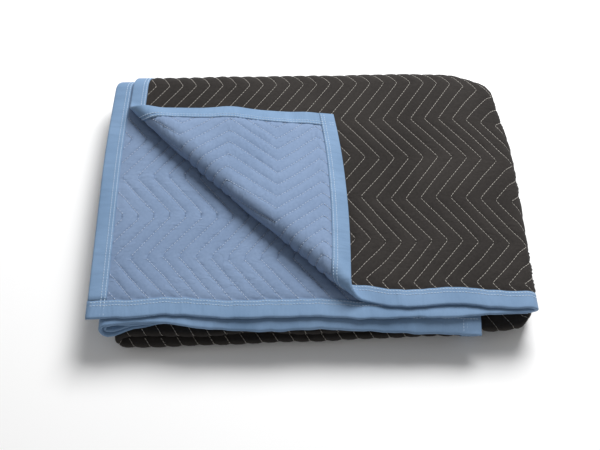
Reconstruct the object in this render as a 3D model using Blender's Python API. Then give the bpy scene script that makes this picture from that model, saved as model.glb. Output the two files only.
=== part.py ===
"""A quilted moving blanket, folded into a stack of twelve layers, with one corner of its top layer turned back.

Every piece is made flat, as it is cut, in blanket coordinates: u along the end-to-end length, v across the
width, w through the thickness (the black face is on the +w side). Named folds then carry each vertex into place:
  1. in half across the width, black outside;
  2. in three along the length, one third inside the other two;
  3. in half again, with the rear half going under;
  4. the front left corner of the top layer rolled back over it.
Metres, +Z up, +X to the right, +Y to the back. The stack rests on z = 0.
"""

import math

import bmesh
import bpy
from mathutils import Vector

# The layers
PITCH = 0.0064  # from the middle of one layer to the middle of the next
CLOTH = 0.0028  # each cloth, with its share of the quilted filling
PIECE_GAP = 0.0003
HALF = PIECE_GAP / 2 + CLOTH  # half of a layer
HEM_CLOTH = 0.0015  # each cloth where it is pressed flat inside the binding
RIBBON = 0.0010
BINDING_WIDTH = 0.026
EDGE_ROUND = 0.0004  # how far inside the quilt's edge the binding's bend is centred
STEP = 0.002  # the slope from the pressed hem up to the full quilt

# The folded stack, measured from the left end of the second layer and the front edge of the stack
WIDTH = 0.660
DEPTH = 0.470
UNDERCUT = 0.014  # how far the lower layers stop short of the left end
LOWER_SHIFT = 0.020  # how much further the left end draws in below the last fold
INNER_END = 0.571  # where the inside third ends
UPPER_INSET = 0.031  # how much sooner the top layer ends than the one under it
FOLD_SPACE = 0.0005  # half of the space inside the last fold
CENTRE = Vector((0.3283, 0.2237, 0.0))  # the middle of the stack's box

# Where the bends are, in the stack
LEFT_BEND = UNDERCUT + 1.5 * PITCH + HALF
RIGHT_BEND = WIDTH - 2.5 * PITCH - HALF
BACK_BEND = DEPTH - FOLD_SPACE - 5.5 * PITCH - HALF
BEND_HEIGHT = FOLD_SPACE + 5.5 * PITCH + HALF

# Where the bends are, along the flat blanket
U_LEFT = INNER_END - LEFT_BEND
U_UNDER = U_LEFT + math.pi * PITCH
U_RIGHT = U_UNDER + RIGHT_BEND - LEFT_BEND
U_UPPER = U_RIGHT + math.pi * 2 * PITCH
LENGTH = U_UPPER + RIGHT_BEND
S_BACK = BACK_BEND
S_UNDER = S_BACK + math.pi * (5 * PITCH + FOLD_SPACE)
HALF_BREADTH = 0.915
S_ROLL = HALF_BREADTH - math.pi * PITCH / 4

# How far behind the front each free edge and each roll lies, at places along the stack
EDGE_ROWS = (
    # third, x, edge of the upper sheet, edge of the lower sheet, roll under them
    ("inner", 0.571, -0.020, -0.004, -0.006),
    ("inner", 0.430, -0.018, 0.000, -0.007),
    ("inner", 0.110, -0.002, 0.002, -0.013),
    ("under", 0.110, -0.002, 0.002, -0.002),
    ("under", 0.600, 0.012, 0.012, 0.002),
    ("upper", 0.600, 0.010, 0.003, 0.060),
    ("upper", 0.530, 0.016, -0.001, 0.066),
    ("upper", 0.430, 0.018, -0.001, 0.066),
    ("upper", 0.110, 0.010, 0.009, 0.066),
    ("upper", 0.000, 0.010, 0.005, 0.066),
)

# The corner that is rolled back
ROLL_START = 0.285  # from the corner, square to the crease, to where the sheet leaves the stack
ROLL_RADIUS = 0.016
ROLL_OVER = math.radians(7.5)  # how far past level the rolled sheet comes down
FLAP_PULL = Vector((0.026, 0.018))  # how far left and forward the rolled corner's tip is pulled
LANDING_RADIUS = 0.150
LANDING_LIFT = 0.002  # how much higher than a layer of the stack the rolled sheet lies
FLAP_ZONE = 0.440  # along each edge from the corner, cut fine enough to roll
ROLL_LENGTH = ROLL_RADIUS * (math.pi + ROLL_OVER)
FALL = ROLL_RADIUS * (1 + math.cos(ROLL_OVER)) - PITCH - LANDING_LIFT
SLOPE = (FALL - LANDING_RADIUS * (1 - math.cos(ROLL_OVER))) / math.sin(ROLL_OVER)
LANDING = LANDING_RADIUS * ROLL_OVER

# How unevenly the stack lies
SLUMP = 0.09  # the share of its height that the stack loses towards the back right corner
BEVEL_START = Vector((0.600, 0.300))  # the back corners draw in beyond here
BEVEL = Vector((0.10, 0.85))  # how fast the right one draws in, to the left and to the front
LEFT_BEVEL = 0.05  # how fast the left one draws in, to the right

# How finely each bend is faceted
ACROSS_LINES = (0.110, 0.430, 0.530, 0.600)
DEPTH_LINES = (0.150, 0.300)
LEFT_FACETS, RIGHT_FACETS, BACK_FACETS, ROLL_FACETS, FLAP_FACETS = 4, 5, 6, 4, 8

BLACK = (0.035, 0.031, 0.029, 1.0)
BLUE = (0.215, 0.305, 0.470, 1.0)
SKY = (0.205, 0.375, 0.600, 1.0)


def smooth(t):
    t = min(1.0, max(0.0, t))
    return t * t * (3 - 2 * t)


def steps(start, end, count):
    return [start + (end - start) * i / count for i in range(count + 1)]


def u_of(third, x):
    """Where along the flat blanket a place on one third of the stack is."""
    if third == "inner":
        return INNER_END - x
    if third == "under":
        return U_UNDER + x - LEFT_BEND
    return U_UPPER + RIGHT_BEND - x


EDGE_KNOTS = [(u_of(third, x), *setbacks) for third, x, *setbacks in EDGE_ROWS]


def setback(u, column):
    """How far back an edge (column 1 or 2) or a roll (column 3) lies, at u."""
    before = EDGE_KNOTS[0]
    for after in EDGE_KNOTS:
        if u <= after[0]:
            span = max(after[0] - before[0], 1e-9)
            return before[column] + (after[column] - before[column]) * (u - before[0]) / span
        before = after
    return before[column]


def fold_breadth(v, w):
    """First fold: (distance from the free edges, height over the middle of the two sheets)."""
    bend = math.pi * PITCH / 4
    if abs(v) < bend:
        angle = v / (PITCH / 2)
        radius = PITCH / 2 + w
        return S_ROLL + radius * math.cos(angle), radius * math.sin(angle)
    return HALF_BREADTH - abs(v), math.copysign(PITCH / 2 + w, v)


def fold_length(u, q, v):
    """Second fold: (x, height in the six layers) of a point q above the middle of its two sheets."""
    if u <= U_LEFT:
        return INNER_END - u, 3 * PITCH + q
    if u < U_UNDER:
        angle = math.pi * (u - U_LEFT) / (U_UNDER - U_LEFT)
        radius = PITCH + q
        return LEFT_BEND - radius * math.sin(angle), 2 * PITCH + radius * math.cos(angle)
    if u <= U_RIGHT:
        return LEFT_BEND + u - U_UNDER, PITCH - q
    if u < U_UPPER:
        angle = math.pi * (u - U_RIGHT) / (U_UPPER - U_RIGHT)
        radius = 2 * PITCH + q
        return RIGHT_BEND + radius * math.sin(angle), 3 * PITCH - radius * math.cos(angle)
    along = (u - U_UPPER) / (LENGTH - U_UPPER)
    inset = UPPER_INSET * smooth(0.5 + v)
    return RIGHT_BEND - (RIGHT_BEND - inset) * along, 5 * PITCH + q


def fold_over(u, v, s, h):
    """Third fold: (y, z) of a point s behind the free edges and h up in the six layers."""
    radius = FOLD_SPACE + h
    if s <= S_BACK:
        edge = setback(u, 1 if v > 0 else 2)
        return s + edge * (1 - s / S_BACK), BEND_HEIGHT + radius
    if s < S_UNDER:
        angle = math.pi * (s - S_BACK) / (S_UNDER - S_BACK)
        return BACK_BEND + radius * math.sin(angle), BEND_HEIGHT + radius * math.cos(angle)
    roll = setback(u, 3)
    along = (s - S_UNDER) / (S_ROLL - S_UNDER)
    y = BACK_BEND + (roll - BACK_BEND) * along if along < 1 else roll - (s - S_ROLL)
    return y, BEND_HEIGHT - radius


def roll_back(u, v, x, y, z):
    """Fourth fold: rolls a point of the top layer over the diagonal crease, if it is in front of it."""
    s = ROLL_START - (LENGTH - u + HALF_BREADTH - v) / math.sqrt(2)
    if s <= 0:
        return x, y, z
    # The sheet's path square to the crease: how far behind its start, how far up, and its direction
    if s < ROLL_LENGTH:
        angle = s / ROLL_RADIUS
        back, up = -ROLL_RADIUS * math.sin(angle), ROLL_RADIUS * (1 - math.cos(angle))
    else:
        run = min(s - ROLL_LENGTH, SLOPE)
        back = ROLL_RADIUS * math.sin(ROLL_OVER) + run * math.cos(ROLL_OVER)
        up = ROLL_RADIUS * (1 + math.cos(ROLL_OVER)) - run * math.sin(ROLL_OVER)
        run = max(0.0, min(s - ROLL_LENGTH - SLOPE, LANDING))
        left = ROLL_OVER - run / LANDING_RADIUS
        back += LANDING_RADIUS * (math.sin(ROLL_OVER) - math.sin(left))
        up -= LANDING_RADIUS * (math.cos(left) - math.cos(ROLL_OVER))
        back += max(0.0, s - ROLL_LENGTH - SLOPE - LANDING)
        angle = math.pi + left
    middle = BEND_HEIGHT + FOLD_SPACE + 5.5 * PITCH
    back += (z - middle) * math.sin(angle)
    up += (z - middle) * math.cos(angle)
    moved = (back + s) / math.sqrt(2)
    pull = (max(0.0, s - ROLL_LENGTH) / (ROLL_START - ROLL_LENGTH)) ** 2
    return x + moved - FLAP_PULL.x * pull, y + moved - FLAP_PULL.y * pull, middle + up


def lie_unevenly(x, y, z, s):
    """Draws in the lower layers and the back corners, and lowers the stack. What is on z = 0 stays there."""
    x += LOWER_SHIFT * smooth((s - S_BACK) / (S_UNDER - S_BACK)) * (1 - x / WIDTH)
    share = 1 - SLUMP * (x / WIDTH + y / DEPTH) / 2
    left = max(0.0, y - BEVEL_START.y) * (BEVEL.x * x / WIDTH - LEFT_BEVEL * (1 - x / WIDTH))
    forward = BEVEL.y * max(0.0, x - BEVEL_START.x) * max(0.0, y)
    return x - left, y - forward, z * share


def fold(point):
    """Carries a point of the flat blanket through every fold."""
    u, v, w = point
    s, q = fold_breadth(v, w)
    x, h = fold_length(u, q, v)
    y, z = fold_over(u, v, s, h)
    if v > 0 and u > U_UPPER and s < S_BACK:
        x, y, z = roll_back(u, v, x, y, z)
    return Vector(lie_unevenly(x, y, z, s)) - CENTRE


def length_cuts():
    """Places along u where the flat pieces are cut into facets: the same lines across all three thirds."""
    lines = [u_of(third, x) for third in ("inner", "under", "upper") for x in ACROSS_LINES]
    lines += steps(U_LEFT, U_UNDER, LEFT_FACETS) + steps(U_RIGHT, U_UPPER, RIGHT_FACETS)
    return lines


def breadth_cuts():
    """Places along v where the flat pieces are cut into facets: the same lines above and below the last fold."""
    one_side = steps(HALF_BREADTH - S_BACK, HALF_BREADTH - S_UNDER, BACK_FACETS)
    one_side += [HALF_BREADTH - y for y in DEPTH_LINES]
    one_side += [HALF_BREADTH - S_UNDER - BACK_BEND + y for y in DEPTH_LINES]
    bend = math.pi * PITCH / 4
    return one_side + [-v for v in one_side] + steps(-bend, bend, ROLL_FACETS)


def crease_cuts():
    """Distances from the blanket's corner, square to the crease, where the flap is cut into facets."""
    past = steps(0, ROLL_LENGTH, FLAP_FACETS) + [ROLL_LENGTH + SLOPE, ROLL_LENGTH + SLOPE + LANDING]
    return [ROLL_START - s for s in past]


def cut(bm, normal, place, only=None):
    faces = [f for f in bm.faces if only is None or only(f.calc_center_median())]
    edges = {e for f in faces for e in f.edges}
    verts = {v for f in faces for v in f.verts}
    bmesh.ops.bisect_plane(
        bm, geom=[*verts, *edges, *faces], dist=1e-6, plane_co=place, plane_no=normal
    )


def cut_for_folds(bm):
    """Cuts a flat piece wherever a fold bends it."""
    for u in length_cuts():
        cut(bm, (1, 0, 0), (u, 0, 0))
    for v in breadth_cuts():
        cut(bm, (0, 1, 0), (0, v, 0))

    def on_flap(centre):
        return centre.x > LENGTH - FLAP_ZONE and centre.y > HALF_BREADTH - FLAP_ZONE

    for distance in crease_cuts():
        reach = distance * math.sqrt(2)
        cut(bm, (1, 1, 0), (LENGTH - reach, HALF_BREADTH, 0), on_flap)


def flat_slab(low, high):
    """A closed box between two corners."""
    bm = bmesh.new()
    bmesh.ops.create_cube(bm, size=1)
    for vert in bm.verts:
        for axis in range(3):
            vert.co[axis] = high[axis] if vert.co[axis] > 0 else low[axis]
    return bm


def split_alike(bm):
    """Splits each four-sided facet along the same diagonal, so that neighbouring layers bend alike."""
    for face in [f for f in bm.faces if len(f.verts) == 4]:
        ranked = sorted(face.verts, key=lambda vert: vert.co.x + vert.co.y * math.copysign(1, vert.co.y))
        low, high = ranked[0], ranked[-1]
        if not any(low in e.verts and high in e.verts for e in face.edges):
            bmesh.utils.face_split(face, low, high)


def finish(bm, name, colour, collection):
    """Folds a flat piece into the stack and makes it an object."""
    bmesh.ops.recalc_face_normals(bm, faces=bm.faces)
    split_alike(bm)
    for vert in bm.verts:
        vert.co = fold(vert.co)
    mesh = bpy.data.meshes.new(name)
    bm.to_mesh(mesh)
    bm.free()
    material = bpy.data.materials.new(name)
    material.use_nodes = True
    shader = material.node_tree.nodes["Principled BSDF"]
    shader.inputs["Base Color"].default_value = colour
    shader.inputs["Roughness"].default_value = 0.9
    shader.inputs["Metallic"].default_value = 0.0
    mesh.materials.append(material)
    obj = bpy.data.objects.new(name, mesh)
    collection.objects.link(obj)
    return obj


def make_cloth(name, side, colour, collection):
    """One cloth of the quilt, on the +w side or the -w side, pressed thin where the binding holds it."""
    inner, outer = side * PIECE_GAP / 2, side * HALF
    pressed = side * (PIECE_GAP / 2 + HEM_CLOTH)
    bm = flat_slab(
        (0, -HALF_BREADTH, min(inner, outer)), (LENGTH, HALF_BREADTH, max(inner, outer))
    )
    hem = BINDING_WIDTH + PIECE_GAP
    for inset in (hem, hem + STEP):
        for u in (inset, LENGTH - inset):
            cut(bm, (1, 0, 0), (u, 0, 0))
        for v in (inset - HALF_BREADTH, HALF_BREADTH - inset):
            cut(bm, (0, 1, 0), (0, v, 0))
    for vert in bm.verts:
        u, v, w = vert.co
        inset = min(u, LENGTH - u, HALF_BREADTH - abs(v))
        if abs(w - outer) < 1e-5 and inset < hem + STEP / 2:
            vert.co.z = pressed
    cut_for_folds(bm)
    return finish(bm, name, colour, collection)


def make_binding(name, along_u, edge, colour, collection):
    """A strip bent round one edge of the quilt. Flat, it is a ribbon: along, across and through."""
    inner_radius = PIECE_GAP * 1.5 + HEM_CLOTH
    middle_radius = inner_radius + RIBBON / 2
    bend = math.pi / 2 * middle_radius
    reach = bend + BINDING_WIDTH - EDGE_ROUND
    stand_out = HALF - EDGE_ROUND
    if along_u:
        start, end = -stand_out, LENGTH + stand_out
    else:
        end = HALF_BREADTH - BINDING_WIDTH - PIECE_GAP
        start = -end
    bm = flat_slab((start, -reach, inner_radius), (end, reach, inner_radius + RIBBON))
    for across in steps(-bend, bend, 4):
        cut(bm, (0, 1, 0), (0, across, 0))
    for vert in bm.verts:
        along, across, radius = vert.co
        angle = max(-math.pi / 2, min(math.pi / 2, across / middle_radius))
        inset = EDGE_ROUND + max(0.0, abs(across) - bend) - radius * math.cos(angle)
        w = radius * math.sin(angle)
        if along_u:
            vert.co = (along, math.copysign(HALF_BREADTH - inset, edge), w)
        else:
            vert.co = (inset if edge < 0 else LENGTH - inset, along, w)
    cut_for_folds(bm)
    return finish(bm, name, colour, collection)


def main():
    for obj in list(bpy.data.objects):
        bpy.data.objects.remove(obj, do_unlink=True)
    collection = bpy.data.collections.new("moving_blanket")
    bpy.context.scene.collection.children.link(collection)
    make_cloth("black_face_cloth", 1, BLACK, collection)
    make_cloth("blue_back_cloth", -1, BLUE, collection)
    make_binding("upper_long_binding", True, 1, SKY, collection)
    make_binding("lower_long_binding", True, -1, SKY, collection)
    make_binding("inner_end_binding", False, -1, SKY, collection)
    make_binding("outer_end_binding", False, 1, SKY, collection)


main()
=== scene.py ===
"""The looks of the folded moving blanket: quilted cloths, sewn bindings and stitches.

They are made flat and carried through the CAD's folds. The front edges follow finer rows than the CAD's.
"""

import math

import bpy
import numpy as np
from mathutils import Matrix, Vector


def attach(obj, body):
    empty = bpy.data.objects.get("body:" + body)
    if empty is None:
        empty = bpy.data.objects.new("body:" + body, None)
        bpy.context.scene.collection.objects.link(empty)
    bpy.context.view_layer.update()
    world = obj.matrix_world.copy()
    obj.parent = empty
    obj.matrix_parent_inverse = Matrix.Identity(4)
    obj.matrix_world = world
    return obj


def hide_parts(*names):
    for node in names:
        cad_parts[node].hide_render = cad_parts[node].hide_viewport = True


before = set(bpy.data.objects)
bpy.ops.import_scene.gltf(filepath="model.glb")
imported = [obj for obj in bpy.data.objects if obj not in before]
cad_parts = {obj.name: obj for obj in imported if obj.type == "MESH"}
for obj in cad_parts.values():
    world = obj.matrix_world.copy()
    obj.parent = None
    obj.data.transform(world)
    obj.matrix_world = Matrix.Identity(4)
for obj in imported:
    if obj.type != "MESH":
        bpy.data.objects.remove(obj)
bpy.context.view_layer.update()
PI = math.pi

# ---------------------------------------------------------------- the CAD's folds, in metres
PITCH = 0.0064
CLOTH = 0.0028
PIECE_GAP = 0.0003
HALF = PIECE_GAP / 2 + CLOTH
HEM_CLOTH = 0.0015
RIBBON = 0.0010
BINDING_WIDTH = 0.026
EDGE_ROUND = 0.0004
WIDTH, DEPTH = 0.660, 0.470
UNDERCUT = 0.014
LOWER_SHIFT = 0.020
INNER_END = 0.571
UPPER_INSET = 0.031
FOLD_SPACE = 0.0005
CENTRE = np.array((0.3283, 0.2237, 0.0))

LEFT_BEND = UNDERCUT + 1.5 * PITCH + HALF
RIGHT_BEND = WIDTH - 2.5 * PITCH - HALF
BACK_BEND = DEPTH - FOLD_SPACE - 5.5 * PITCH - HALF
BEND_HEIGHT = FOLD_SPACE + 5.5 * PITCH + HALF

U_LEFT = INNER_END - LEFT_BEND
U_UNDER = U_LEFT + PI * PITCH
U_RIGHT = U_UNDER + RIGHT_BEND - LEFT_BEND
U_UPPER = U_RIGHT + PI * 2 * PITCH
LENGTH = U_UPPER + RIGHT_BEND
S_BACK = BACK_BEND
S_UNDER = S_BACK + PI * (5 * PITCH + FOLD_SPACE)
HALF_BREADTH = 0.915
ROLL_BEND = PI * PITCH / 4
S_ROLL = HALF_BREADTH - ROLL_BEND

ROLL_START = 0.285
ROLL_RADIUS = 0.016
ROLL_OVER = math.radians(7.5)
LANDING_RADIUS = 0.150
LANDING_LIFT = 0.002
FLAP_PULL = (0.026, 0.018)
ROLL_LENGTH = ROLL_RADIUS * (PI + ROLL_OVER)
FALL = ROLL_RADIUS * (1 + math.cos(ROLL_OVER)) - PITCH - LANDING_LIFT
SLOPE = (FALL - LANDING_RADIUS * (1 - math.cos(ROLL_OVER))) / math.sin(ROLL_OVER)
LANDING = LANDING_RADIUS * ROLL_OVER

SLUMP = 0.09
BEVEL_START = (0.600, 0.300)
BEVEL = (0.10, 0.85)
LEFT_BEVEL = 0.05

# How far behind the front each free edge and each roll lies, and how far the upper sheet's hem hangs.
# Many of these places and setbacks came from a separate program that fitted the model's edges to
# points read off the photograph. They are not design sizes, and they are finer than the CAD's own rows.
EDGE_ROWS = (
    # third, x, edge of the upper sheet, edge of the lower sheet, roll under them, hang of the upper
    ("inner", 0.571, -0.0225, 0.012, -0.006, 0.012),
    ("inner", 0.540, -0.0210, 0.012, -0.006, 0.012),
    ("inner", 0.435, -0.0170, 0.012, -0.007, 0.010),
    ("inner", 0.340, -0.0115, 0.012, -0.010, 0.009),
    ("inner", 0.223, -0.0130, 0.012, -0.012, 0.009),
    ("inner", 0.170, -0.0095, 0.010, -0.0135, 0.006),
    ("inner", 0.140, -0.0045, 0.006, -0.014, 0.001),
    ("inner", 0.106, 0.0010, 0.003, -0.014, 0.0),
    ("inner", 0.050, 0.0005, 0.001, -0.0145, 0.0),
    ("inner", 0.026, -0.0030, 0.000, -0.0148, 0.0),
    ("under", 0.030, -0.0130, -0.009, -0.004, 0.0),
    ("under", 0.060, 0.0000, 0.002, -0.003, 0.0),
    ("under", 0.110, 0.0100, 0.010, -0.004, 0.0),
    ("under", 0.200, 0.0140, 0.014, -0.002, 0.0),
    ("under", 0.500, 0.0180, 0.018, -0.003, 0.0),
    ("under", 0.600, 0.0180, 0.018, -0.007, 0.0),
    ("under", 0.641, 0.0170, 0.016, 0.000, 0.0),
    ("upper", 0.641, 0.0085, 0.004, 0.060, 0.0),
    ("upper", 0.600, 0.0102, 0.003, 0.060, 0.0),
    ("upper", 0.536, 0.0160, -0.001, 0.066, 0.0),
    ("upper", 0.484, 0.0145, 0.000, 0.066, 0.0),
    ("upper", 0.440, 0.0135, -0.001, 0.066, 0.0),
    ("upper", 0.379, 0.0240, 0.001, 0.066, 0.0),
    ("upper", 0.338, 0.0180, 0.003, 0.066, 0.0),
    ("upper", 0.223, 0.0120, 0.0025, 0.066, 0.0),
    ("upper", 0.164, 0.0100, 0.0062, 0.066, 0.0),
    ("upper", 0.105, 0.0100, 0.0104, 0.066, 0.0),
    ("upper", 0.062, 0.0100, 0.0061, 0.066, 0.0),
    ("upper", 0.000, 0.0100, 0.0050, 0.066, 0.0),
)
HANG_START = 0.012  # how far behind the front a hem starts to hang
HANG_REACH = 0.034

# The flap's edges sink towards what they lie on, and its long edge rises in two low waves
EDGE_SINK = 0.5
EDGE_REACH = 0.036
EDGE_WAVES = (
    # distance from the corner, height, half width
    (0.190, 0.0075, 0.034),
    (0.050, 0.0030, 0.026),
)

# ---------------------------------------------------------------- the quilting
LINE_SPACING = 0.0245
LINE_START = 0.0125
ZIGZAG = 0.060  # from a left point to a right point
FIRST_POINT = 0.030  # from the upper edge to the first point of the zigzag
UPPER_HALF_WAVE = 0.0805
LOWER_HALF_WAVE = 0.0749
ROLL_PHASE = 11.5  # half waves between the first point and the middle of the width
LOWER_PHASE = -0.40  # what the lower half gains on its even spacing
EDGE_PHASE = -0.15  # the first points lie further from the upper edge than the even spacing puts them
EDGE_PHASE_REACH = 0.060
POINT_SHARPNESS = 0.9990
GROOVE_CLOTH = 0.0011  # a cloth's thickness at a stitch line
FREE_PUFF = {1: 0.0012, -1: 0.0018}  # how much further each cloth puffs up where nothing lies on it


def smooth(t):
    t = np.clip(t, 0, 1)
    return t * t * (3 - 2 * t)


def eased(t, blend):
    """max(0, t), with its corner rounded over the given span."""
    t = t + blend / 2
    return np.where(t < 0, 0, np.where(t < blend, t * t / (2 * blend), t - blend / 2))


def waves(x, y, size, seed):
    """Gentle random undulation between about -1 and 1, with hills about size across."""
    random = np.random.RandomState(seed)
    total = np.zeros_like(x)
    for _ in range(6):
        turn = random.uniform(0, 2 * PI)
        k = 2 * PI / (size * random.uniform(1.4, 3.2))
        total += np.sin(k * (x * math.cos(turn) + y * math.sin(turn)) + random.uniform(0, 2 * PI))
    return total / 3.2


def u_of(third, x):
    if third == "inner":
        return INNER_END - x
    if third == "under":
        return U_UNDER + x - LEFT_BEND
    return U_UPPER + RIGHT_BEND - x


EDGE_KNOTS = np.array([(u_of(row[0], row[1]), *row[2:]) for row in EDGE_ROWS])


def setback(u, column):
    """One column of the edge rows at u, its corners rounded: 1 or 2 an edge, 3 a roll, 4 the hang."""
    reach = 0.008
    return sum(
        share * np.interp(u + shift * reach, EDGE_KNOTS[:, 0], EDGE_KNOTS[:, column])
        for shift, share in ((-1, 0.25), (0, 0.5), (1, 0.25))
    )


def fold_breadth(v, w):
    angle = np.clip(v, -ROLL_BEND, ROLL_BEND) / (PITCH / 2)
    radius = PITCH / 2 + w
    bent = np.abs(v) < ROLL_BEND
    s = np.where(bent, S_ROLL + radius * np.cos(angle), HALF_BREADTH - np.abs(v))
    q = np.where(bent, radius * np.sin(angle), np.where(v < 0, -radius, radius))
    return s, q


def fold_length(u, q, v):
    left = PI * np.clip((u - U_LEFT) / (U_UNDER - U_LEFT), 0, 1)
    right = PI * np.clip((u - U_RIGHT) / (U_UPPER - U_RIGHT), 0, 1)
    stretches = [u <= U_LEFT, u < U_UNDER, u <= U_RIGHT, u < U_UPPER]
    along = (u - U_UPPER) / (LENGTH - U_UPPER)
    inset = UPPER_INSET * smooth(0.5 + v)
    x = np.select(
        stretches,
        [
            INNER_END - u,
            LEFT_BEND - (PITCH + q) * np.sin(left),
            LEFT_BEND + u - U_UNDER,
            RIGHT_BEND + (2 * PITCH + q) * np.sin(right),
        ],
        RIGHT_BEND - (RIGHT_BEND - inset) * along,
    )
    h = np.select(
        stretches,
        [
            3 * PITCH + q,
            2 * PITCH + (PITCH + q) * np.cos(left),
            PITCH - q,
            3 * PITCH - (2 * PITCH + q) * np.cos(right),
        ],
        5 * PITCH + q,
    )
    return x, h


def fold_over(u, v, s, h):
    radius = FOLD_SPACE + h
    edge = np.where(v > 0, setback(u, 1), setback(u, 2))
    edge = (
        edge
        + 0.0014 * waves(u, 3.0 * np.sign(v), 0.060, 5)
        + 0.0007 * waves(u, 2.0 * np.sign(v), 0.016, 9)
    )
    roll = setback(u, 3) + 0.0015 * waves(u, 0 * u, 0.070, 6)
    angle = PI * np.clip((s - S_BACK) / (S_UNDER - S_BACK), 0, 1)
    along = (s - S_UNDER) / (S_ROLL - S_UNDER)
    low = np.where(along < 1, BACK_BEND + (roll - BACK_BEND) * along, roll - (s - S_ROLL))
    y = np.select(
        [s <= S_BACK, s < S_UNDER],
        [s + edge * (1 - s / S_BACK), BACK_BEND + radius * np.sin(angle)],
        low,
    )
    z = np.select(
        [s <= S_BACK, s < S_UNDER],
        [BEND_HEIGHT + radius, BEND_HEIGHT + radius * np.cos(angle)],
        BEND_HEIGHT - radius,
    )
    hanging = np.clip((HANG_START - y) / HANG_REACH, 0, 1) ** 1.5
    z = z - np.where((v > 0) & (s <= S_BACK), setback(u, 4) * hanging, 0)
    return y, z


def crease_distance(u, v):
    """How far a point of the flat blanket is past the line where the corner starts to roll."""
    return ROLL_START - (LENGTH - u + HALF_BREADTH - v) / math.sqrt(2)


def on_flap(u, v):
    return (crease_distance(u, v) > 0) & (u > U_UPPER) & (v > HALF_BREADTH - S_BACK)


def roll_back(u, v, x, y, z):
    flap = on_flap(u, v)
    s = np.where(flap, crease_distance(u, v), 0)
    turned = np.minimum(s, ROLL_LENGTH) / ROLL_RADIUS
    run = np.clip(s - ROLL_LENGTH, 0, SLOPE)
    left = ROLL_OVER - np.clip(s - ROLL_LENGTH - SLOPE, 0, LANDING) / LANDING_RADIUS
    rolled = s < ROLL_LENGTH
    back = np.where(
        rolled,
        -ROLL_RADIUS * np.sin(turned),
        ROLL_RADIUS * math.sin(ROLL_OVER)
        + run * math.cos(ROLL_OVER)
        + LANDING_RADIUS * (math.sin(ROLL_OVER) - np.sin(left))
        + np.maximum(0, s - ROLL_LENGTH - SLOPE - LANDING),
    )
    up = np.where(
        rolled,
        ROLL_RADIUS * (1 - np.cos(turned)),
        ROLL_RADIUS * (1 + math.cos(ROLL_OVER))
        - run * math.sin(ROLL_OVER)
        - LANDING_RADIUS * (np.cos(left) - math.cos(ROLL_OVER)),
    )
    angle = np.where(rolled, turned, PI + left)
    middle = BEND_HEIGHT + FOLD_SPACE + 5.5 * PITCH
    back = back + (z - middle) * np.sin(angle)
    up = up + (z - middle) * np.cos(angle)
    # Its edges sink, and its long edge waves
    from_edge = np.minimum(LENGTH - u, HALF_BREADTH - v)
    past_roll = smooth((s - 0.6 * ROLL_LENGTH) / 0.04)
    spare = np.maximum(0, up - PITCH - LANDING_LIFT)
    at_edge = np.clip(1 - from_edge / EDGE_REACH, 0, 1) ** 1.5
    up = up - EDGE_SINK * spare * at_edge * past_roll
    near_edge = np.exp(-(((LENGTH - u) / 0.05) ** 2))
    for place, height, half_width in EDGE_WAVES:
        wave = np.exp(-(((HALF_BREADTH - v - place) / half_width) ** 2))
        up = up + height * wave * near_edge * past_roll
    moved = (back + s) / math.sqrt(2)
    pull = (np.maximum(0, s - ROLL_LENGTH) / (ROLL_START - ROLL_LENGTH)) ** 2
    x = np.where(flap, x + moved - FLAP_PULL[0] * pull, x)
    y = np.where(flap, y + moved - FLAP_PULL[1] * pull, y)
    return x, y, np.where(flap, middle + up, z)


def lie_unevenly(x, y, z, s):
    x = x + LOWER_SHIFT * smooth((s - S_BACK) / (S_UNDER - S_BACK)) * (1 - x / WIDTH)
    share = 1 - SLUMP * (x / WIDTH + y / DEPTH) / 2
    share = share + 0.010 * waves(x, y, 0.11, 1)
    share = share - 0.15 * np.exp(-((x - 0.66) ** 2 + (y - 0.45) ** 2) / 0.085**2)
    left = eased(y - BEVEL_START[1], 0.10) * (BEVEL[0] * x / WIDTH - LEFT_BEVEL * (1 - x / WIDTH))
    forward = BEVEL[1] * eased(x - BEVEL_START[0], 0.05) * np.maximum(0, y)
    return x - left, y - forward, z * share


def fold(u, v, w):
    """Carries points of the flat blanket through every fold, to where they lie in the frame."""
    u, v, w = (np.asarray(a, float) for a in np.broadcast_arrays(u, v, w))
    s, q = fold_breadth(v, w)
    x, h = fold_length(u, q, v)
    y, z = fold_over(u, v, s, h)
    x, y, z = roll_back(u, v, x, y, z)
    return np.stack(lie_unevenly(x, y, z, s), -1) - CENTRE


# ---------------------------------------------------------------- the quilting pattern
def wave_phase(v):
    """Half waves from the first point at the upper edge."""
    upper = (HALF_BREADTH - FIRST_POINT - v) / UPPER_HALF_WAVE
    spare = ROLL_PHASE - (HALF_BREADTH - FIRST_POINT) / UPPER_HALF_WAVE
    upper = upper + spare * (1 - smooth(v / 0.4))
    upper = upper + EDGE_PHASE * np.exp(-(((HALF_BREADTH - v) / EDGE_PHASE_REACH) ** 2))
    lower = ROLL_PHASE - v / LOWER_HALF_WAVE + LOWER_PHASE * smooth(-v / 0.4)
    return np.where(v > 0, upper, lower)


def line_shift(v):
    """How far along the length a stitch line has moved, at v."""
    wave = np.arcsin(POINT_SHARPNESS * np.cos(PI * wave_phase(v))) / math.asin(POINT_SHARPNESS)
    return ZIGZAG / 2 * wave


def line_number(u, v):
    """Whole on a stitch line, and in between elsewhere."""
    return (u - LINE_START - line_shift(v)) / LINE_SPACING


def u_on_line(number, v):
    return LINE_START + number * LINE_SPACING + line_shift(v)


def edge_distance(u, v):
    return np.minimum(np.minimum(u, LENGTH - u), HALF_BREADTH - np.abs(v))


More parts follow.
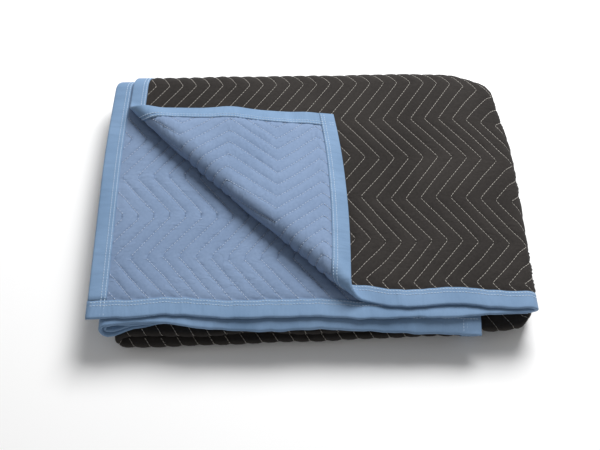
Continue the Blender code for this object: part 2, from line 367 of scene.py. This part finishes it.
def thickness(u, v, side):
    """A cloth's thickness: thin at a stitch line and under the binding, puffed between lines."""
    puff = np.abs(np.sin(PI * line_number(u, v))) ** 0.6
    top = v > HALF_BREADTH - S_UNDER
    if side > 0:
        free = np.where(top & (u > U_RIGHT), 1.0, 0.0)
    else:
        second_layer = (v < -(HALF_BREADTH - S_BACK)) & (u > U_UPPER)
        free = np.where(second_layer | on_flap(u, v), 1.0, 0.0)
    crown = CLOTH + FREE_PUFF[side] * free * (0.85 + 0.3 * waves(u, v, 0.05, 2 + side))
    # Along the zigzag's points the cloth is gathered, so it lies lower there, here and there
    at_points = np.abs(np.cos(PI * wave_phase(v))) ** 24
    gathered = 0.0007 * at_points * free * smooth(0.5 + waves(u, v, 0.03, 11))
    ripple = 0.00025 * free * waves(u, v * 2.2, 0.012, 12)
    full = GROOVE_CLOTH + (crown - gathered + ripple - GROOVE_CLOTH) * puff
    hem = smooth((edge_distance(u, v) - BINDING_WIDTH - PIECE_GAP) / 0.006)
    return HEM_CLOTH - 0.0001 + (full - HEM_CLOTH + 0.0001) * hem


# ---------------------------------------------------------------- meshes
def new_object(name, points, faces, uvs, material):
    mesh = bpy.data.meshes.new(name)
    mesh.from_pydata(points.tolist(), [], faces)
    mesh.update()
    if uvs is not None:
        loops = np.zeros(len(mesh.loops), np.int32)
        mesh.loops.foreach_get("vertex_index", loops)
        layer = mesh.uv_layers.new(name="flat")
        layer.data.foreach_set("uv", uvs[loops].astype(np.float32).ravel())
    mesh.polygons.foreach_set("use_smooth", np.ones(len(mesh.polygons), bool))
    mesh.materials.append(material)
    obj = bpy.data.objects.new(name, mesh)
    bpy.context.scene.collection.objects.link(obj)
    return obj


def closed_sheet(outer, inner, faces):
    """Two copies of an open surface, joined round their border. Faces are lists of point numbers."""
    count = len(outer)
    used = {}
    for face in faces:
        for a, b in zip(face, face[1:] + face[:1]):
            used[(a, b)] = True
    walls = [[b, a, a + count, b + count] for a, b in used if (b, a) not in used]
    below = [[i + count for i in reversed(face)] for face in faces]
    return np.concatenate([outer, inner]), faces + below + walls


def merge_equal(flat, faces):
    """Makes points at the same place one, and drops the faces that this closes up."""
    keys = np.round(flat / 1e-7).astype(np.int64)
    _, first, index = np.unique(keys, axis=0, return_index=True, return_inverse=True)
    index = index.reshape(-1)
    merged = []
    for face in faces:
        ring = []
        for i in face:
            j = int(index[i])
            if not ring or ring[-1] != j:
                ring.append(j)
        if ring[0] == ring[-1]:
            ring.pop()
        if len(ring) > 2 and len(set(ring)) == len(ring):
            merged.append(ring)
    return flat[first], merged


def spread(start, end, spacing):
    count = max(1, round(abs(end - start) / spacing))
    return [start + (end - start) * i / count for i in range(count + 1)]


def tidy_rows(rows, least):
    kept = []
    for row in sorted(rows):
        if not kept or row - kept[-1] > least:
            kept.append(row)
    return kept


def cloth_rows(upper_spacing, lower_spacing, back_spacing):
    """Places across the width: fine where the face shows, coarse where it is hidden."""
    top, wrap = HALF_BREADTH - S_BACK, HALF_BREADTH - S_UNDER
    rows = spread(top, HALF_BREADTH - 0.032, upper_spacing)
    rows += spread(wrap, top, back_spacing)[:-1]
    rows += spread(ROLL_BEND * 4, wrap, 0.012)[:-1]
    rows += spread(-ROLL_BEND * 1.2, ROLL_BEND * 1.2, 0.0011)
    rows += [ROLL_BEND * 2, -ROLL_BEND * 2]
    rows += spread(-wrap, -ROLL_BEND * 4, 0.030)[:-1]
    rows += spread(-top, -wrap, back_spacing)[:-1]
    rows += spread(-HALF_BREADTH + 0.032, -top, lower_spacing)[:-1]
    for edge in (0, 0.012, 0.022, 0.0262, 0.029):
        rows += [HALF_BREADTH - edge, edge - HALF_BREADTH]
    return tidy_rows(rows, 0.0006)


COARSE_EVERY = 4


def make_cloth(name, side, material, rows):
    """One cloth, on a grid whose columns follow the stitch lines."""
    first = math.floor(float(line_number(0, 0)) - 4)
    last = math.ceil(float(line_number(LENGTH, 0)) + 5)
    seam = round(float(line_number(U_RIGHT - 0.045, 0)))
    bend = float(line_number((U_LEFT + U_UNDER) / 2, 0))
    fine_columns = [k + t for k in range(seam, last) for t in (0, 0.08, 0.26, 0.5, 0.74, 0.92)] + [last]
    coarse_columns = []
    for k in range(first, seam):
        near_bend = abs(k + 0.5 - bend) < 3
        steps = (0, 0.12, 0.25, 0.37, 0.5, 0.63, 0.75, 0.88) if near_bend else (0, 0.33, 0.67)
        coarse_columns += [k + t for t in steps]
    coarse_columns.append(seam)

    rows = np.array(rows)
    keep = [i for i in range(len(rows)) if is_coarse_row(rows, i)]
    fine_u = np.clip(u_on_line(np.array(fine_columns)[:, None], rows[None, :]), 0, LENGTH)
    coarse_u = np.clip(u_on_line(np.array(coarse_columns)[:-1, None], rows[None, keep]), 0, LENGTH)

    n_rows, n_keep = len(rows), len(keep)
    fine_flat = np.stack([fine_u, np.broadcast_to(rows, fine_u.shape)], -1).reshape(-1, 2)
    coarse_flat = np.stack([coarse_u, np.broadcast_to(rows[keep], coarse_u.shape)], -1).reshape(-1, 2)
    flat = np.concatenate([fine_flat, coarse_flat])
    base = len(fine_flat)
    faces = []
    for i in range(len(fine_columns) - 1):
        for j in range(n_rows - 1):
            a = i * n_rows + j
            faces.append([a, a + n_rows, a + n_rows + 1, a + 1])
    for i in range(len(coarse_columns) - 2):
        for j in range(n_keep - 1):
            a = base + i * n_keep + j
            faces.append([a, a + n_keep, a + n_keep + 1, a + 1])
    last_column = base + (len(coarse_columns) - 2) * n_keep
    for j in range(n_keep - 1):
        seam_points = list(range(keep[j], keep[j + 1] + 1))
        faces.append([last_column + j, *seam_points, last_column + j + 1])
    flat, faces = merge_equal(flat, faces)

    u, v = flat.T
    outer = fold(u, v, side * (PIECE_GAP / 2 + thickness(u, v, side)))
    inner = fold(u, v, np.full_like(u, side * PIECE_GAP / 2))
    if side < 0:
        faces = [face[::-1] for face in faces]
    points, faces = closed_sheet(outer, inner, faces)
    uvs = np.stack([line_number(u, v), v], -1)
    return new_object(name, points, faces, np.concatenate([uvs, uvs]), material)


def is_coarse_row(rows, i):
    """Whether the hidden thirds use this row: every few rows, and all of them at the bends and edges."""
    v = rows[i]
    if i in (0, len(rows) - 1) or abs(v) < ROLL_BEND * 2.5:
        return True
    if HALF_BREADTH - abs(v) < 0.030:
        return True
    if HALF_BREADTH - S_UNDER - 0.008 < abs(v) < HALF_BREADTH - S_BACK + 0.008:
        return True
    every = COARSE_EVERY // 2 if 0 < v < HALF_BREADTH - S_UNDER else COARSE_EVERY
    return i % every == 0


def binding_places(start, end, bends):
    """Places along a strip: every few millimetres, and finer where it bends."""
    places = spread(start, end, 0.009)
    for low, high in bends:
        places += spread(low, high, 0.0022)
    return tidy_rows(places, 0.0010)


TAPE_RADIUS = PIECE_GAP * 1.5 + HEM_CLOTH  # inside the binding's bend
TAPE_BEND = PI / 2 * (TAPE_RADIUS + RIBBON / 2)  # from the middle of the ribbon to the end of its bend


def tape_pucker(along, across):
    """How far the ribbon stands up or sinks, as its sewing gathers it."""
    fine = 0.00042 * waves(along, across * 0.5, 0.012, 8)
    broad = 0.00030 * waves(along, across * 0.3, 0.030, 10)
    return fine + broad


def make_binding(name, along_u, edge, material):
    middle_radius = TAPE_RADIUS + RIBBON / 2
    bend = TAPE_BEND
    reach = bend + BINDING_WIDTH - EDGE_ROUND
    stand_out = HALF - EDGE_ROUND
    if along_u:
        start, end = -stand_out, LENGTH + stand_out
        places = binding_places(start, end, [(U_LEFT, U_UNDER), (U_RIGHT, U_UPPER)])
    else:
        end = HALF_BREADTH - BINDING_WIDTH - PIECE_GAP
        start = -end
        wrap = (HALF_BREADTH - S_UNDER, HALF_BREADTH - S_BACK)
        places = binding_places(
            start, end, [(-ROLL_BEND, ROLL_BEND), wrap, (-wrap[1], -wrap[0])]
        )
    fine = spread(-bend, bend, bend / 4)
    flats = spread(bend, reach, 0.0045)[1:]
    across = np.array([-a for a in reversed(flats)] + fine + flats)
    places = np.array(places)
    along_grid, across_grid = np.meshgrid(places, across, indexing="ij")

    angle = np.clip(across_grid / middle_radius, -PI / 2, PI / 2)
    past = np.maximum(0, np.abs(across_grid) - bend)

    # Two rows of sewing pull the ribbon down, and the edge beyond them stands a little proud
    sewn = np.zeros_like(across_grid)
    for row in STITCH_ROWS:
        from_row = np.abs(BINDING_WIDTH - EDGE_ROUND - past - row)
        sewn += 0.00030 * np.exp(-((from_row / 0.0016) ** 2))
    pucker = tape_pucker(along_grid, across_grid)

    def surface(radius, relief):
        inset = EDGE_ROUND + past - radius * np.cos(angle)
        w = (radius + relief) * np.sin(angle)
        if along_u:
            return fold(along_grid, math.copysign(1, edge) * (HALF_BREADTH - inset), w)
        return fold(inset if edge < 0 else LENGTH - inset, along_grid, w)

    outer = surface(TAPE_RADIUS + RIBBON, pucker - sewn).reshape(-1, 3)
    inner = surface(TAPE_RADIUS, 0 * pucker).reshape(-1, 3)
    n = len(across)
    faces = [
        [i * n + j, (i + 1) * n + j, (i + 1) * n + j + 1, i * n + j + 1]
        for i in range(len(places) - 1)
        for j in range(n - 1)
    ]
    if along_u == (edge > 0):
        faces = [face[::-1] for face in faces]
    points, faces = closed_sheet(outer, inner, faces)
    uvs = np.stack([along_grid, across_grid], -1).reshape(-1, 2)
    return new_object(name, points, faces, np.concatenate([uvs, uvs]), material)


STITCH_ROWS = (0.0028, 0.0082)  # from the binding's inner edge to each row of sewing
STITCH_RINGS = (
    # share of the stitch's length, size and height, both in thread radii
    (0, 0.45, -0.8),
    (0.14, 0.95, 0.1),
    (0.86, 0.95, 0.1),
    (1, 0.45, -0.8),
)


def make_threads(name, runs, thread_radius, stitch, gap, material):
    """Stitches along runs, as one mesh. A run is (u, v, w, side) arrays of points close together."""
    points, faces = [], []
    base = 0
    for u, v, w, side in runs:
        centre = fold(u, v, w)
        above = fold(u, v, w + side * 0.0004)
        steps = np.linalg.norm(np.diff(centre, axis=0), axis=1)
        travelled = np.concatenate([[0], np.cumsum(steps)])
        total = travelled[-1]
        count = int(total // (stitch + gap))
        if count < 1:
            continue
        starts = (np.arange(count) + 0.5) * total / count - stitch / 2
        rings = []
        for share, size, height in STITCH_RINGS:
            at = starts + share * stitch
            middle = np.stack([np.interp(at, travelled, centre[:, k]) for k in range(3)], -1)
            ahead = np.stack([np.interp(at + 0.0008, travelled, centre[:, k]) for k in range(3)], -1)
            behind = np.stack([np.interp(at - 0.0008, travelled, centre[:, k]) for k in range(3)], -1)
            normal = np.stack([np.interp(at, travelled, (above - centre)[:, k]) for k in range(3)], -1)
            normal /= np.linalg.norm(normal, axis=1, keepdims=True)
            tangent = ahead - behind
            sideways = np.cross(tangent, normal)
            sideways /= np.maximum(1e-12, np.linalg.norm(sideways, axis=1, keepdims=True))
            middle = middle + normal * height * thread_radius
            r = size * thread_radius
            rings.append(
                np.stack(
                    [middle + sideways * r, middle + normal * r * 0.8,
                     middle - sideways * r, middle - normal * r * 0.8], 1
                )
            )
        block = np.stack(rings, 1).reshape(-1, 3)
        points.append(block)
        for s in range(count):
            o = base + s * 16
            for ring in range(3):
                for k in range(4):
                    a, b = o + ring * 4 + k, o + ring * 4 + (k + 1) % 4
                    faces.append([a, a + 4, b + 4, b])
            faces.append([o, o + 1, o + 2, o + 3])
            faces.append([o + 15, o + 14, o + 13, o + 12])
        base += count * 16
    return new_object(name, np.concatenate(points), faces, None, material)


THREAD_LIFT = {1: 0.0002, -1: 0.0004}  # how far the middle of a stitch lies over its cloth


def line_runs(side, shows):
    """Stitch lines of one cloth, cut to where shows(u, v) is true."""
    runs = []
    v = np.linspace(-HALF_BREADTH + BINDING_WIDTH, HALF_BREADTH - BINDING_WIDTH, 1400)
    for number in range(-6, 84):
        u = u_on_line(number, v)
        inside = (u > BINDING_WIDTH) & (u < LENGTH - BINDING_WIDTH) & shows(u, v)
        edges = np.flatnonzero(np.diff(np.concatenate([[0], inside.astype(int), [0]])))
        for start, stop in zip(edges[::2], edges[1::2]):
            if stop - start < 6:
                continue
            uu, vv = u[start:stop], v[start:stop]
            w = side * (PIECE_GAP / 2 + thickness(uu, vv, side) + THREAD_LIFT[side])
            runs.append((uu, vv, w, side))
    return runs


def black_shows(u, v):
    upper_third = (u > U_RIGHT + 0.005) & (v > -0.02)
    left_bend = (u > U_LEFT - 0.004) & (u < U_UNDER + 0.004) & (v > -0.02)
    return upper_third | left_bend | (np.abs(v) < 0.045)


def blue_shows(u, v):
    lower = (u > U_UPPER + 0.15) & (v < -(HALF_BREADTH - S_BACK))
    return lower | (on_flap(u, v) & (crease_distance(u, v) > 0.004))


def binding_runs():
    runs = []
    for row in STITCH_ROWS:
        inset = BINDING_WIDTH - row
        for side in (1, -1):
            across = side * (TAPE_BEND + inset - EDGE_ROUND)
            u = np.linspace(0.001, LENGTH - 0.001, 1500)
            v = np.linspace(0.001 - HALF_BREADTH, HALF_BREADTH - 0.001, 1500)
            for edge in (1, -1):
                w = side * (TAPE_RADIUS + RIBBON - 0.00004 + tape_pucker(u, across))
                runs.append((u, np.full_like(u, edge * (HALF_BREADTH - inset)), w, side))
            for at in (inset, LENGTH - inset):
                w = side * (TAPE_RADIUS + RIBBON - 0.00004 + tape_pucker(v, across))
                runs.append((np.full_like(v, at), v, w, side))
    return runs


# ---------------------------------------------------------------- materials
class Shader:
    """A Principled material, with short ways to add nodes."""

    def __init__(self, name, roughness, sheen):
        self.material = bpy.data.materials.new(name)
        self.material.use_nodes = True
        self.nodes = self.material.node_tree.nodes
        self.links = self.material.node_tree.links
        self.bsdf = self.nodes["Principled BSDF"]
        self.bsdf.inputs["Roughness"].default_value = roughness
        self.bsdf.inputs["Sheen Weight"].default_value = sheen
        self.bsdf.inputs["Sheen Roughness"].default_value = 0.5
        self.bsdf.inputs["Specular IOR Level"].default_value = 0.18
        uv = self.nodes.new("ShaderNodeUVMap")
        uv.uv_map = "flat"
        self.uv = uv.outputs["UV"]

    def link(self, value, socket):
        if isinstance(value, (int, float)):
            socket.default_value = value
        else:
            self.links.new(value, socket)

    def math(self, operation, a, b=0.0):
        node = self.nodes.new("ShaderNodeMath")
        node.operation = operation
        self.link(a, node.inputs[0])
        self.link(b, node.inputs[1])
        return node.outputs[0]

    def scaled(self, scale):
        node = self.nodes.new("ShaderNodeMapping")
        node.inputs["Scale"].default_value = scale
        self.links.new(self.uv, node.inputs["Vector"])
        return node.outputs[0]

    def noise(self, vector, scale, detail=3.0):
        node = self.nodes.new("ShaderNodeTexNoise")
        node.inputs["Scale"].default_value = scale
        node.inputs["Detail"].default_value = detail
        if vector is not None:
            self.links.new(vector, node.inputs["Vector"])
        return node.outputs["Fac"]

    def object_coords(self):
        return self.nodes.new("ShaderNodeTexCoord").outputs["Object"]

    def ramp(self, value, stops):
        node = self.nodes.new("ShaderNodeValToRGB")
        elements = node.color_ramp.elements
        while len(elements) < len(stops):
            elements.new(0.5)
        for element, (place, colour) in zip(elements, stops):
            element.position = place
            element.color = (*colour, 1)
        self.links.new(value, node.inputs["Fac"])
        return node.outputs["Color"]

    def mix(self, share, a, b, blend="MIX"):
        node = self.nodes.new("ShaderNodeMix")
        node.data_type = "RGBA"
        node.blend_type = blend
        self.link(share, node.inputs["Factor"])
        for value, socket in ((a, node.inputs["A"]), (b, node.inputs["B"])):
            if isinstance(value, tuple):
                socket.default_value = (*value, 1)
            else:
                self.links.new(value, socket)
        return node.outputs["Result"]

    def colour(self, value):
        self.links.new(value, self.bsdf.inputs["Base Color"])

    def bump(self, heights):
        """Bumps in a chain: (height socket, distance in metres)."""
        normal = None
        for height, distance in heights:
            node = self.nodes.new("ShaderNodeBump")
            node.inputs["Distance"].default_value = distance
            self.links.new(height, node.inputs["Height"])
            if normal:
                self.links.new(normal, node.inputs["Normal"])
            normal = node.outputs["Normal"]
        self.links.new(normal, self.bsdf.inputs["Normal"])


def quilted_cloth(name, dark, light, painted_groove_shade, roughness, sheen, pucker_depth, wrinkle_depth):
    """Brushed cloth, with puckers that run out from each stitch line, and painted shade that darkens its
    grooves.
    """
    shader = Shader(name, roughness, sheen)
    separate = shader.nodes.new("ShaderNodeSeparateXYZ")
    shader.links.new(shader.uv, separate.inputs[0])
    from_line = shader.math("PINGPONG", separate.outputs["X"], 0.5)
    on_line = shader.math("SUBTRACT", 1.0, shader.math("MULTIPLY", from_line, 2.0))
    near_line = shader.math("POWER", on_line, 2.5)
    puckers = shader.noise(shader.scaled((1.6, 130, 1)), 1.0, 2.0)
    pucker_height = shader.math("MULTIPLY", puckers, near_line)
    where = shader.object_coords()
    fibre = shader.noise(where, 900, 4.0)
    blotches = shader.noise(where, 9, 3.0)
    speckle = shader.noise(where, 260, 3.0)
    broad = shader.math("MULTIPLY", blotches, 0.55)
    tone = shader.math("ADD", broad, shader.math("MULTIPLY", speckle, 0.45))
    colour = shader.ramp(tone, [(0.3, dark), (0.7, light)])
    # Painted shade: the colour darkens into each stitch line's groove, standing in for the shade that
    # falls there
    groove_shade_share = shader.math("POWER", on_line, 14.0)
    shader.colour(shader.mix(shader.math("MULTIPLY", groove_shade_share, 0.55), colour, painted_groove_shade))
    # Fine wrinkles run across the lines, here and there
    streaks = shader.noise(shader.scaled((0.55, 55, 1)), 1.0, 3.0)
    wrinkles = shader.math("ABSOLUTE", shader.math("SUBTRACT", streaks, 0.5))
    here = shader.math("GREATER_THAN", shader.noise(where, 14, 2.0), 0.5)
    wrinkle_height = shader.math("MULTIPLY", wrinkles, here)
    shader.bump([(pucker_height, pucker_depth), (wrinkle_height, wrinkle_depth), (fibre, 0.00012)])
    return shader.material


def binding_cloth(name):
    """Plain-woven tape, with a faint crosswise rib."""
    shader = Shader(name, 0.72, 0.05)
    weave = shader.noise(shader.scaled((1400, 420, 1)), 1.0, 2.0)
    creases = shader.noise(shader.scaled((70, 18, 1)), 1.0, 2.0)
    blotches = shader.noise(shader.object_coords(), 14, 3.0)
    broad = shader.math("MULTIPLY", blotches, 0.7)
    tone = shader.math("ADD", broad, shader.math("MULTIPLY", weave, 0.3))
    shader.colour(shader.ramp(tone, [(0.3, (0.138, 0.228, 0.362)), (0.7, (0.200, 0.308, 0.468))]))
    shader.bump([(creases, 0.0022), (weave, 0.00012)])
    return shader.material


def thread(name, dark, light):
    shader = Shader(name, 0.6, 0.1)
    twist = shader.noise(shader.object_coords(), 1200, 2.0)
    shader.colour(shader.ramp(twist, [(0.3, dark), (0.7, light)]))
    return shader.material


BLACK_CLOTH = quilted_cloth(
    "black_quilt",
    dark=(0.0185, 0.0163, 0.0153),
    light=(0.0355, 0.0315, 0.0292),
    # painted shade in the stitch lines' grooves
    painted_groove_shade=(0.008, 0.007, 0.007),
    roughness=0.92,
    sheen=0.03,
    pucker_depth=0.0022,
    wrinkle_depth=0.0030,
)
BLUE_CLOTH = quilted_cloth(
    "blue_quilt",
    dark=(0.158, 0.225, 0.350),
    light=(0.216, 0.295, 0.440),
    # painted shade in the stitch lines' grooves
    painted_groove_shade=(0.080, 0.125, 0.225),
    roughness=0.88,
    sheen=0.05,
    pucker_depth=0.0034,
    wrinkle_depth=0.0030,
)
BINDING_CLOTH = binding_cloth("sky_tape")
CREAM_THREAD = thread("cream_thread", (0.38, 0.355, 0.32), (0.62, 0.59, 0.54))
BLUE_THREAD = thread("blue_thread", (0.40, 0.48, 0.60), (0.60, 0.67, 0.78))
TAPE_THREAD = thread("tape_thread", (0.40, 0.52, 0.66), (0.62, 0.74, 0.86))

# ---------------------------------------------------------------- the pieces
black = make_cloth("black_cloth", 1, BLACK_CLOTH, cloth_rows(0.0062, 0.030, 0.0085))
blue = make_cloth("blue_cloth", -1, BLUE_CLOTH, cloth_rows(0.0072, 0.0105, 0.0085))
bindings = {
    node: make_binding(node.replace("binding", "tape"), along_u, edge, BINDING_CLOTH)
    for node, along_u, edge in (
        ("upper_long_binding", True, 1),
        ("lower_long_binding", True, -1),
        ("inner_end_binding", False, -1),
        ("outer_end_binding", False, 1),
    )
}
black_runs = line_runs(1, black_shows)
blue_runs = line_runs(-1, blue_shows)
black_stitches = make_threads("black_side_stitches", black_runs, 0.00044, 0.0050, 0.0006, CREAM_THREAD)
blue_stitches = make_threads("blue_side_stitches", blue_runs, 0.00046, 0.0038, 0.0014, BLUE_THREAD)
tape_stitches = make_threads("tape_stitches", binding_runs(), 0.00058, 0.0036, 0.0010, TAPE_THREAD)

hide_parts("black_face_cloth")
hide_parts("blue_back_cloth")
for node, piece in bindings.items():
    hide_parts(node)
for piece in (black, blue, black_stitches, blue_stitches, tape_stitches, *bindings.values()):
    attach(piece, "root")

# ---------------------------------------------------------------- the studio
floor_mesh = bpy.data.meshes.new("floor")
floor_mesh.from_pydata([(-6, -6, 0), (6, -6, 0), (6, 6, 0), (-6, 6, 0)], [], [(0, 1, 2, 3)])
floor = bpy.data.objects.new("floor", floor_mesh)
bpy.context.scene.collection.objects.link(floor)
floor_material = bpy.data.materials.new("floor")
floor_material.use_nodes = True
floor_bsdf = floor_material.node_tree.nodes["Principled BSDF"]
floor_bsdf.inputs["Base Color"].default_value = (0.97, 0.97, 0.97, 1)
floor_bsdf.inputs["Roughness"].default_value = 0.9
floor_mesh.materials.append(floor_material)

world = bpy.data.worlds.new("studio")
world.use_nodes = True
world.node_tree.nodes["Background"].inputs["Color"].default_value = (1.0, 1.0, 1.0, 1)
world.node_tree.nodes["Background"].inputs["Strength"].default_value = 0.30
bpy.context.scene.world = world


def area_light(name, place, target, size, power):
    data = bpy.data.lights.new(name, "AREA")
    data.size = size
    data.energy = power
    light = bpy.data.objects.new(name, data)
    light.location = place
    light.rotation_euler = (Vector(target) - Vector(place)).to_track_quat("-Z", "Y").to_euler()
    bpy.context.scene.collection.objects.link(light)


area_light("key", (0.6, 1.2, 1.75), (0, 0, 0.05), 1.1, 63)
area_light("fill", (-0.9, -1.2, 1.9), (0, 0, 0.05), 1.6, 1.5)

# The camera's place, turn and lens were fitted to the photograph's view by a separate program
CAMERA_PLACE = Vector((0.3085, -0.5619, 1.2658)) - Vector(CENTRE)
CAMERA_DOWN, CAMERA_YAW, CAMERA_ROLL = (math.radians(a) for a in (59.05, 0.29, -0.85))
forward = Vector((
    math.sin(CAMERA_YAW) * math.cos(CAMERA_DOWN),
    math.cos(CAMERA_YAW) * math.cos(CAMERA_DOWN),
    -math.sin(CAMERA_DOWN),
))
level = Vector((math.cos(CAMERA_YAW), -math.sin(CAMERA_YAW), 0))
above = level.cross(forward)
right = level * math.cos(CAMERA_ROLL) + above * math.sin(CAMERA_ROLL)
up = above * math.cos(CAMERA_ROLL) - level * math.sin(CAMERA_ROLL)
camera_data = bpy.data.cameras.new("camera")
camera_data.sensor_width = 36
camera_data.lens = 54.38
camera = bpy.data.objects.new("camera", camera_data)
turn = Matrix((right, up, -forward)).transposed()
camera.matrix_world = Matrix.Translation(CAMERA_PLACE) @ turn.to_4x4()
bpy.context.scene.collection.objects.link(camera)
bpy.context.scene.camera = camera
bpy.context.scene.view_settings.view_transform = "Standard"
